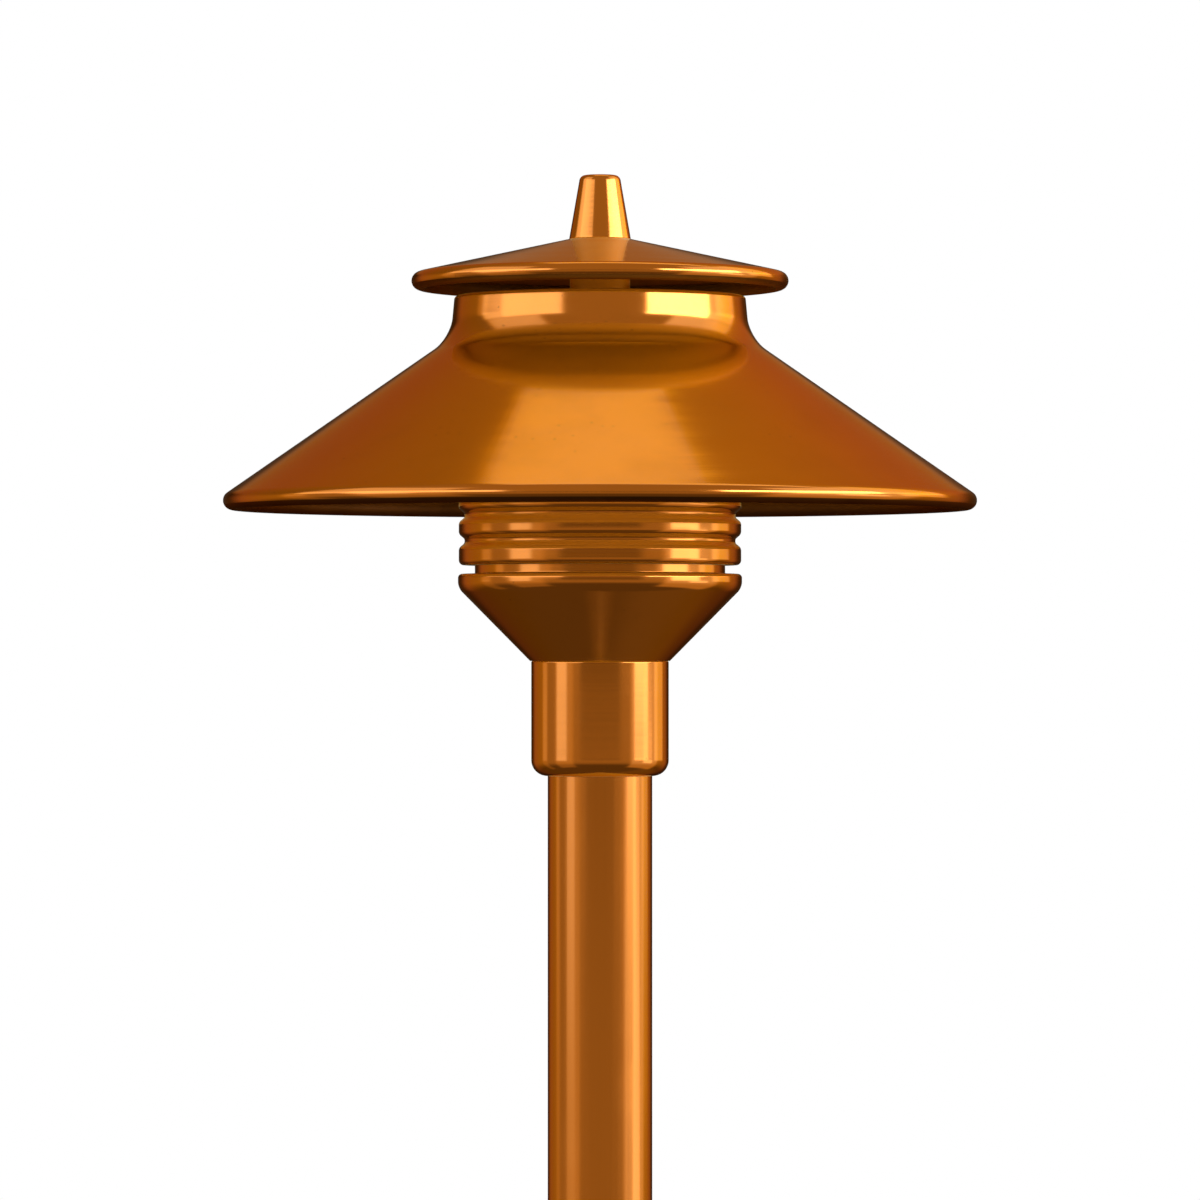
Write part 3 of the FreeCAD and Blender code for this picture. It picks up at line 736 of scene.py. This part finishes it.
class PATHLIGHT_OT_collar(bpy.types.Operator):
    """Build the ribbed collar"""
    bl_idname = "pathlight.collar"
    bl_label = "Collar"

    def execute(self, context):
        sizes = context.scene.pathlight_sizes
        outer, low, high = span("collar")
        bore, mouth, flange = mm(30.48, 25.2, 3.7)
        half, slant, crest, hollow = mm(0.5, 1.2, 1.3, 0.7)
        bore_edge, foot_edge, top_edge, mouth_edge = mm(0.2, 1.2, 1.0, 0.3)
        groove, step = outer - sizes.rib_depth, high - flange
        corners = [(bore, low, bore_edge), (outer, low, foot_edge)]
        for i in range(2):
            z = low + sizes.first_groove + i * sizes.rib_pitch
            corners += [(outer, z - half - slant, crest), (groove, z - half, hollow),
                        (groove, z + half, hollow), (outer, z + half + slant, crest)]
        corners += [(outer, high, top_edge), (mouth, high, mouth_edge), (mouth, step), (bore, step)]
        piece("collar_ribbed", turned(*corners), "collar")
        return {"FINISHED"}


class PATHLIGHT_OT_housing(bpy.types.Operator):
    """Build the cone housing with its lip and threaded neck"""
    bl_idname = "pathlight.housing"
    bl_label = "Housing"

    def execute(self, context):
        sizes = context.scene.pathlight_sizes
        lip, low, high = span("housing")
        overhang, gap, floor, wall = mm(0.3, 2.11, 3, 3.4)
        neck, bore, hole, seat, seat_depth = mm(30.4, 25.5, 5.05, 27.6, 4)
        foot_edge, lip_foot, lip_edge, neck_edge = mm(0.15, 3.5, 1.0, 0.3)
        foot, lip_top = span("hub")[0] + overhang, span("collar")[1] - gap
        corners = [(hole, low), (foot, low, foot_edge), (lip, lip_top - sizes.lip, lip_foot),
                   (lip, lip_top, lip_edge), (neck, lip_top, neck_edge)]
        turns, thread, depth, lead, chamfer = 4, *mm(1.5, 0.45, 0.6, 0.3)
        first = high - turns * thread - lead
        for i in range(turns):
            z = first + i * thread
            corners += [(neck, z), (neck - depth, z + thread * 0.5)]
        inner_foot, floor_top, step = foot + floor - wall, low + floor, high - seat_depth
        corners += [(neck, high - lead), (neck - chamfer, high), (seat, high), (seat, step), (bore, step),
                    (bore, floor_top + bore - inner_foot), (inner_foot, floor_top), (hole, floor_top)]
        piece("housing_cone", turned(*corners), "housing")
        return {"FINISHED"}


class PATHLIGHT_OT_hub(bpy.types.Operator):
    """Build the hub that clamps the stem, and its set screw"""
    bl_idname = "pathlight.hub"
    bl_label = "Hub"

    def execute(self, context):
        outer, low, high = span("hub")
        stem, nipple, depth, foot_round, top_edge = mm(12.75, 5.05, 20, 3.8, 0.35)
        corners = [(stem, low), (outer, low, foot_round), (outer, high, top_edge), (nipple, high),
                   (nipple, low + depth), (stem, low + depth)]
        piece("hub_sleeve", turned(*corners, steps=160), "hub")
        self.set_screw()
        return {"FINISHED"}

    def set_screw(self):
        low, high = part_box("set_screw")
        radius, length = (high.x - low.x) / 2, high.y - low.y
        key, recess, chamfer, key_chamfer = mm(1.45, 2.0, 0.35, 0.3)
        key_mouth = 1.3 * key
        bm = turned((0, 0), (radius, 0, chamfer), (radius, length, chamfer), (key_mouth, length),
                    (key, length - key_chamfer), (key, length - recess), (0, length - recess), steps=48)
        aim = Matrix.Rotation(-math.pi / 2, 4, "X")
        bm.transform(Matrix.Translation((0, low.y, (low.z + high.z) / 2)) @ aim)
        piece("grub_screw", bm, "set_screw")


class PATHLIGHT_OT_stem(bpy.types.Operator):
    """Build the tube stem"""
    bl_idname = "pathlight.stem"
    bl_label = "Stem"

    def execute(self, context):
        wall, edge = mm(1.25, 0.3)
        plain_ring("stem_tube", "stem", span("stem")[0] - wall, edge, steps=128)
        return {"FINISHED"}


class PATHLIGHT_OT_stake(bpy.types.Operator):
    """Build the moulded ground stake: flange, head, two crossing blades and four fins"""
    bl_idname = "pathlight.stake"
    bl_label = "Stake"

    def execute(self, context):
        flange, tip, top = span("stake")
        head, head_low, bore, bore_low = mm(17.5, -38, 10.8, -34)
        rim_top, boss_foot, boss_low, boss = mm(4, 22, 5, 19)
        edge, rim_edge, root, boss_fillet, bore_edge = mm(1.0, 1.5, 2.0, 2.5, 0.4)
        bm = turned((0, head_low), (head, head_low, edge), (head, 0, root), (flange, 0, edge),
                    (flange, rim_top, rim_edge), (boss_foot, boss_low, boss_fillet), (boss, top, rim_edge),
                    (bore, top, bore_edge), (bore, bore_low), (0, bore_low), steps=144)
        for i in range(2):
            bm = carve(bm, self.blade(i, head, head_low, tip), "UNION")
        for i in range(4):
            bm = carve(bm, self.fin(i, head), "UNION")
        stake = piece("ground_stake_moulded", carve(bm, self.notch(bore_low), "DIFFERENCE"), "stake")
        weigh_normals(stake)
        stake.visible_glossy = False
        return {"FINISHED"}

    def notch(self, bore_low):
        """The cable's way out of the bore, at the back."""
        half, top, lift, reach = mm(4.5, -14, 0.3, 20)
        low = bore_low + lift
        bm = prism([(-half, low), (half, low), (half, top), (-half, top)], reach)
        bm.transform(Matrix.Translation((0, reach / 2, 0)))
        return bm

    def blade(self, i, head, head_low, tip):
        thickness, shoulder, point, point_half, sunk, ease = mm(3.2, 22, 12, 3, 0.5, 0.4)
        half = [(head - sunk, head_low + sunk), (head, head_low - sunk), (head, head_low - shoulder),
                (point_half, tip + point)]
        bm = prism(half + [(0, tip)] + [(-x, z) for x, z in reversed(half)], thickness, ease)
        bm.transform(around(i * math.pi / 2))
        return bm

    def fin(self, i, head):
        thickness, reach, depth, sunk, rise, ease = mm(3.2, 36, 20, 2, 1, 0.4)
        points = [(head - sunk, rise), (reach, rise), (reach, 0), (head, -depth), (head - sunk, -depth)]
        bm = prism(points, thickness, ease)
        bm.transform(around((i + 0.5) * math.pi / 2))
        return bm


class PATHLIGHT_OT_foot(bpy.types.Operator):
    """Build the brass adapter under the stem, its gasket and the cable grommet"""
    bl_idname = "pathlight.foot"
    bl_label = "Foot"

    def execute(self, context):
        collar, low, high = span("stem_adapter")
        bore, nipple, plug, seat, foot = mm(6.5, 10.7, 11.4, 13.5, 16)
        thread, depth, runout, relief = mm(1.5, 0.5, 3, 2)
        edge, collar_edge, plug_edge = mm(0.4, 0.8, 1.0)
        corners = [(bore, low, edge), *threaded(nipple, depth, thread, low, seat - runout),
                   (nipple, seat - relief), (nipple, seat), (collar, seat, edge), (collar, foot, collar_edge),
                   (plug, foot), (plug, high, plug_edge), (bore, high, edge)]
        piece("adapter_turned", turned(*corners, steps=144), "stem_adapter")
        gasket_hole = 10.8 * MM
        plain_ring("gasket_ring", "foot_gasket", gasket_hole, edge, steps=144)
        self.grommet()
        return {"FINISHED"}

    def grommet(self):
        flange, low, high = span("cable_grommet")
        hole, body, thickness = mm(3.5, 6.45, 2.5)
        hole_edge, outer_edge, step_edge, step_root = mm(0.6, 1.0, 0.3, 0.2)
        step = low + thickness
        bm = turned((hole, low, hole_edge), (flange, low, outer_edge), (flange, step, step_edge),
                    (body, step, step_root), (body, high, outer_edge), (hole, high, hole_edge), steps=96)
        piece("grommet", bm, "cable_grommet")


# -------------------- hat frame, lens and lamp

class PATHLIGHT_OT_hat_frame(bpy.types.Operator):
    """Build the posts, the threaded centre stud and its nuts"""
    bl_idname = "pathlight.hat_frame"
    bl_label = "Hat frame"

    def execute(self, context):
        self.posts()
        self.stud()
        self.nuts()
        return {"FINISHED"}

    def posts(self):
        low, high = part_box("posts")
        circle, post, spigot, spigot_height = mm(29.5, 2.5, 1.5, 3)
        hole, hole_depth, edge, spigot_edge = mm(1.55, 9, 0.35, 0.2)
        shoulder, drilled = low.z + spigot_height, high.z - hole_depth
        bm = bmesh.new()
        for i in range(3):
            one = turned((0, low.z), (spigot, low.z, spigot_edge), (spigot, shoulder), (post, shoulder, edge),
                         (post, high.z, edge), (hole, high.z), (hole, drilled), (0, drilled), steps=40)
            add_mesh(bm, one, around(math.radians(30 + 120 * i), circle))
        piece("hat_posts", bm, "posts")

    def stud(self):
        radius, low, high = span("centre_stud")
        pitch, depth, edge = mm(1.0, 0.3, 0.5)
        thread = threaded(radius, depth, pitch, low + edge, high - edge)
        end = radius - depth - edge
        piece("stud_threaded", turned((0, low), (end, low), *thread, (end, high), (0, high), steps=64),
              "centre_stud")

    def nuts(self):
        low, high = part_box("stud_nuts")
        half, height, hole, ease = mm(5, 5, 3.05, 0.3)
        corner = half / math.cos(SIXTH / 2)
        fall = (corner - half) * math.tan(SIXTH / 2)
        bm = bmesh.new()
        for bottom in (low.z, high.z - height):
            top = bottom + height
            ring = turned((hole, bottom + ease), (hole + ease, bottom), (half, bottom),
                          (corner, bottom + fall), (corner, top - fall), (half, top), (hole + ease, top),
                          (hole, top - ease), steps=96)
            points = [(corner * math.cos(turn * SIXTH), corner * math.sin(turn * SIXTH)) for turn in range(6)]
            flats = prism(points, 2 * height)
            flats.transform(Matrix.Translation((0, 0, bottom)) @ Matrix.Rotation(math.pi / 2, 4, "X"))
            add_mesh(bm, carve(ring, flats, "INTERSECT"))
        weigh_normals(piece("hex_nuts", bm, "stud_nuts"))


class PATHLIGHT_OT_lens(bpy.types.Operator):
    """Build the domed glass lens with its flange and light-spreading rings"""
    bl_idname = "pathlight.lens"
    bl_label = "Lens"

    def execute(self, context):
        flange, low, high = span("lens")
        outer, wall, dome, flange_height = mm(24.5, 2.3, 20, 3.4)
        foot_edge, flange_edge, root = mm(0.4, 0.8, 1.0)
        rings, pitch, depth, first_ring, ring_round = 5, *mm(2.4, 0.35, 2.5, 0.5)
        inner, flange_top, under_dome = outer - wall, low + flange_height, high - wall
        corners = [(inner, low, foot_edge), (flange, low, foot_edge), (flange, flange_top, flange_edge),
                   (outer, flange_top, root), (outer, high, dome), (0, high), (0, under_dome),
                   (inner, under_dome, dome - wall)]
        for i in reversed(range(rings)):
            z = low + first_ring + i * pitch
            corners += [(inner, z + pitch * 0.75), (inner + depth, z + pitch * 0.4, ring_round), (inner, z)]
        piece("lens_glass", turned(*corners, steps=160), "lens")
        return {"FINISHED"}


class PATHLIGHT_OT_lamp(bpy.types.Operator):
    """Build the lamp's capsule with its sealed tip, and its coiled filament"""
    bl_idname = "pathlight.lamp"
    bl_label = "Lamp"

    def execute(self, context):
        radius, low, high = span("lamp_glass")
        wall, tip, tip_height = mm(0.8, 0.75, 2.0)
        crown, inner_crown, tip_root, tip_round = mm(3.6, 2.9, 0.5, 0.65)
        inner, shoulder = radius - wall, high - tip_height
        bm = turned((inner, low), (radius, low), (radius, shoulder, crown), (tip, shoulder, tip_root),
                    (tip, high, tip_round), (0, high), (0, shoulder - wall),
                    (inner, shoulder - wall, inner_crown), steps=72)
        piece("lamp_capsule", bm, "lamp_glass")
        self.filament()
        return {"FINISHED"}

    def filament(self):
        low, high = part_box("lamp_filament")
        coil, wire, support, end = mm(0.7, 0.13, 0.25, 0.15)
        turns, facets = 9, 18
        half = (high.x - low.x) / 2
        middle = high.z - coil
        bm = bmesh.new()
        bmesh.ops.create_circle(bm, cap_ends=True, segments=10, radius=wire)
        start = Matrix.Translation((wire - half, 0, coil - wire))
        bm.transform(start @ Matrix.Rotation(math.pi / 2, 4, "X"))
        advance = 2 * (half - wire) / (turns * facets)
        bmesh.ops.spin(bm, geom=bm.verts[:] + bm.edges[:] + bm.faces[:], cent=(0, 0, 0), axis=(1, 0, 0),
                       dvec=(advance, 0, 0), angle=2 * math.pi * turns, steps=turns * facets)
        bm.transform(Matrix.Translation((0, 0, middle)))
        for side in (-1, 1):
            rod = turned((0, low.z), (support, low.z), (support, middle - end, end), (0, middle - end),
                         steps=16)
            add_mesh(bm, rod, Matrix.Translation((side * (half - support), 0, 0)))
        bmesh.ops.recalc_face_normals(bm, faces=bm.faces[:])
        piece("filament_coil", bm, "lamp_filament")


# -------------------- the remaining CAD nodes

class PATHLIGHT_OT_fittings(bpy.types.Operator):
    """Give the fittings that keep their CAD shape their finishes"""
    bl_idname = "pathlight.fittings"
    bl_label = "Fittings"

    def execute(self, context):
        for name, obj in frame["nodes"].items():
            if obj.hide_render:
                continue
            obj.data.materials.clear()
            obj.data.materials.append(finish_of(SLOT_OF[name]))
        return {"FINISHED"}


# -------------------- stage

def direction_parts(tree):
    """The sky direction's azimuth to the right of the viewer's side, its elevation, and its X, Y, Z."""
    direction = put(tree, "ShaderNodeTexCoord").outputs["Generated"]
    x, y, z = put(tree, "ShaderNodeSeparateXYZ", {0: direction}).outputs
    azimuth = maths(tree, "DEGREES", maths(tree, "ARCTAN2", x, times(tree, y, -1.0)))
    elevation = maths(tree, "DEGREES", maths(tree, "ARCSINE", z))
    return azimuth, elevation, x, y, z


def band(tree, value, low, high, soft):
    """1 between low and high, easing to 0 over soft on each side."""
    rise = ramp_value(tree, value, low - soft, low + soft)
    fall = ramp_value(tree, value, high - soft, high + soft, 1.0, 0.0)
    return times(tree, rise, fall)


OVERHEAD_SLANT = 2.0
OVERHEAD_LEVEL = 0.62
FLOOR_LEVEL, WALL_LEVEL, NADIR_LEVEL = 0.11, 0.36, 0.04
FRONT_DIP, BACK_DIP = -0.6, -0.85
BACK_GLOW, BACK_LEAN = 0.03, 0.19
ROOM_TINT = (1.0, 0.90, 0.62)
BOX_TINT = (1.0, 1.20, 2.14)
SIDE_BOXES = (
    # left and right azimuth, low and high elevation, softness, brightness
    (-84, -30, 5, 23, 2.5, 1.3),
    (-106, -84, 9, 23, 3, 0.8),
    (-104, -50, 24, 50, 3, 0.5),
    (-78, -58, -3, 5, 2.5, 0.55),
    (-80, -46, -40, 5, 4, 0.20),
    (-112, -100, -3, 14, 2.5, 0.25),
    (-112, -100, -40, 0, 2, 0.12),
    (38, 96, 8, 23, 2, 5.0),
    (96, 130, 9, 23, 3, 0.9),
    (62, 130, 24, 50, 3, 0.6),
    (60, 88, -1.2, 7, 1.2, 1.7),
    (78, 98, -12, -1.2, 1.2, 0.8),
    (54, 112, -40, 8, 4, 0.38),
    (104, 130, -3, 14, 2.5, 0.65),
    (95, 165, -86, -34, 8, 0.05),
)


def room_level(tree, azimuth, elevation, x, y, z):
    """The room: dim low down, dimmer in a gap in front and level behind, and aglow high behind."""
    level = ramp_value(tree, elevation, -30, -6, FLOOR_LEVEL, WALL_LEVEL)
    gap = times(tree, band(tree, elevation, -0.4, 4.5, 0.8), band(tree, azimuth, -34, 34, 5))
    behind = times(tree, ramp_value(tree, y, 0.75, 0.93), ramp_value(tree, elevation, 16, 10))
    for mask, dip in ((gap, FRONT_DIP), (behind, BACK_DIP)):
        level = times(tree, level, raised(tree, 1.0, (mask, dip)))
    high_behind = times(tree, ramp_value(tree, y, 0.0, 0.3), ramp_value(tree, z, 0.0, 0.3))
    return maths(tree, "ADD", level, times(tree, high_behind, raised(tree, BACK_GLOW, (x, BACK_LEAN))))


def overhead_panel(tree, x, y, z):
    """A slanted panel of light overhead, placed where directions meet a plane one unit up."""
    up = maths(tree, "MAXIMUM", z, 0.05)
    across, away = maths(tree, "DIVIDE", x, up), maths(tree, "DIVIDE", y, up)
    slanted = raised(tree, across, (away, OVERHEAD_SLANT))
    panel = times(tree, ramp_value(tree, across, -0.25, -0.20), ramp_value(tree, slanted, 1.18, 1.13))
    return times(tree, panel, band(tree, away, 0.12, 0.75, 0.012))


def studio_light(scene):
    """A white backdrop for the camera, and a studio of panels for the metal to mirror."""
    world = bpy.data.worlds.new("studio")
    scene.world = world
    world.use_nodes = True
    tree = world.node_tree
    tree.nodes.clear()
    azimuth, elevation, x, y, z = direction_parts(tree)
    level = room_level(tree, azimuth, elevation, x, y, z)
    for left, right, low, high, soft, bright in SIDE_BOXES:
        panel = times(tree, band(tree, azimuth, left, right, soft), band(tree, elevation, low, high, soft))
        level = raised(tree, level, (panel, bright))
    level = raised(tree, level, (overhead_panel(tree, x, y, z), OVERHEAD_LEVEL))
    level = maths(tree, "ADD", level, ramp_value(tree, elevation, -83, -86, 0.0, NADIR_LEVEL))
    tint = put_mix(tree, ramp_value(tree, level, 0.45, 1.0), ROOM_TINT, BOX_TINT)
    seen = put(tree, "ShaderNodeLightPath").outputs["Is Camera Ray"]
    white = put(tree, "ShaderNodeBackground", {"Color": (1, 1, 1, 1), "Strength": 1.0}).outputs[0]
    lit = put(tree, "ShaderNodeBackground", {"Color": tint, "Strength": level}).outputs[0]
    mixed = put(tree, "ShaderNodeMixShader", {0: seen, 1: lit, 2: white}).outputs[0]
    put(tree, "ShaderNodeOutputWorld", {"Surface": mixed})


def studio_camera(scene):
    """A long lens a little under the hat's rim, level, so that the rim shows from just below."""
    data = bpy.data.cameras.new("camera")
    data.lens = 181.5
    data.sensor_width = 36
    data.shift_y = 0.0333
    camera = bpy.data.objects.new("camera", data)
    scene.collection.objects.link(camera)
    away, below_rim = 1.47, 31.5 * MM
    camera.location = (0, -away, span("shade")[1] - below_rim)
    camera.rotation_euler = (math.radians(90), 0, 0)
    scene.camera = camera


def pale_floor(scene):
    """A round floor that fades into the backdrop before its edge, and is clear from below."""
    bm = bmesh.new()
    radius, fade_start, fade_end, drop = 3.4, 1.2, 3.3, 1 * MM
    bmesh.ops.create_circle(bm, cap_ends=True, segments=96, radius=radius)
    bm.transform(Matrix.Translation((0, 0, CAD_BOX[0].z - drop)))
    mesh = bpy.data.meshes.new("floor")
    bm.to_mesh(mesh)
    bm.free()
    floor = bpy.data.objects.new("floor", mesh)
    scene.collection.objects.link(floor)
    material, tree, shader = principled("floor", Roughness=0.9, Specular_IOR_Level=0.1)
    coords = object_place(tree)
    rgb = scene.pathlight_colours.floor
    tone = put_mix(tree, noise(tree, coords, scale=30.0, detail=4.0), rgb, darker(rgb, 0.97))
    flat = scaled(tree, coords, 1, 1, 0)
    reach = put(tree, "ShaderNodeVectorMath", {0: flat}, operation="LENGTH").outputs["Value"]
    fade = ramp_value(tree, reach, fade_start, fade_end, 1.0, 0.0)
    below = put(tree, "ShaderNodeNewGeometry").outputs["Backfacing"]
    feed(tree, shader, Base_Color=tone, Alpha=times(tree, fade, maths(tree, "SUBTRACT", 1.0, below)))
    mesh.materials.append(material)
    floor.visible_glossy = False


def overhead_lamp(scene):
    """A large soft lamp that lights the floor and the plastic, unseen by the mirrors."""
    data = bpy.data.lights.new("overhead", "AREA")
    data.shape = "SQUARE"
    data.size = 2.0
    data.energy = 62
    lamp = bpy.data.objects.new("overhead", data)
    lamp.location = (0.3, -0.5, 2.6)
    lamp.rotation_euler = (-lamp.location).to_track_quat("-Z", "Y").to_euler()
    lamp.visible_glossy = False
    lamp.visible_camera = False
    scene.collection.objects.link(lamp)


class PATHLIGHT_OT_stage(bpy.types.Operator):
    """Set up the floor, the studio light and the camera"""
    bl_idname = "pathlight.stage"
    bl_label = "Studio"

    def execute(self, context):
        scene = context.scene
        scene.view_settings.view_transform = "Standard"
        scene.view_settings.look = "None"
        studio_light(scene)
        studio_camera(scene)
        pale_floor(scene)
        overhead_lamp(scene)
        return {"FINISHED"}


# -------------------- panel and registration

OPERATORS = (
    PATHLIGHT_OT_hat, PATHLIGHT_OT_cap, PATHLIGHT_OT_finial, PATHLIGHT_OT_collar, PATHLIGHT_OT_housing,
    PATHLIGHT_OT_hub, PATHLIGHT_OT_stem, PATHLIGHT_OT_stake, PATHLIGHT_OT_foot, PATHLIGHT_OT_hat_frame,
    PATHLIGHT_OT_lens, PATHLIGHT_OT_lamp, PATHLIGHT_OT_fittings, PATHLIGHT_OT_stage,
)


class PATHLIGHT_PT_panel(bpy.types.Panel):
    """Sizes, colours and build steps of the path light"""
    bl_idname = "PATHLIGHT_PT_panel"
    bl_label = "Copper path light"
    bl_space_type = "VIEW_3D"
    bl_region_type = "UI"
    bl_category = "Path light"

    def draw(self, context):
        for group in (context.scene.pathlight_sizes, context.scene.pathlight_colours):
            box = self.layout.box()
            for name in group.__annotations__:
                box.prop(group, name)
        for operator in OPERATORS:
            self.layout.operator(operator.bl_idname)


CLASSES = (PathlightSizes, PathlightColours, *OPERATORS, PATHLIGHT_PT_panel)


def register():
    for cls in CLASSES:
        bpy.utils.register_class(cls)
    bpy.types.Scene.pathlight_sizes = PointerProperty(type=PathlightSizes)
    bpy.types.Scene.pathlight_colours = PointerProperty(type=PathlightColours)


def unregister():
    del bpy.types.Scene.pathlight_colours
    del bpy.types.Scene.pathlight_sizes
    for cls in reversed(CLASSES):
        bpy.utils.unregister_class(cls)


def main():
    register()
    for operator in OPERATORS:
        group, name = operator.bl_idname.split(".")
        getattr(getattr(bpy.ops, group), name)()


if __name__ == "__main__":
    main()
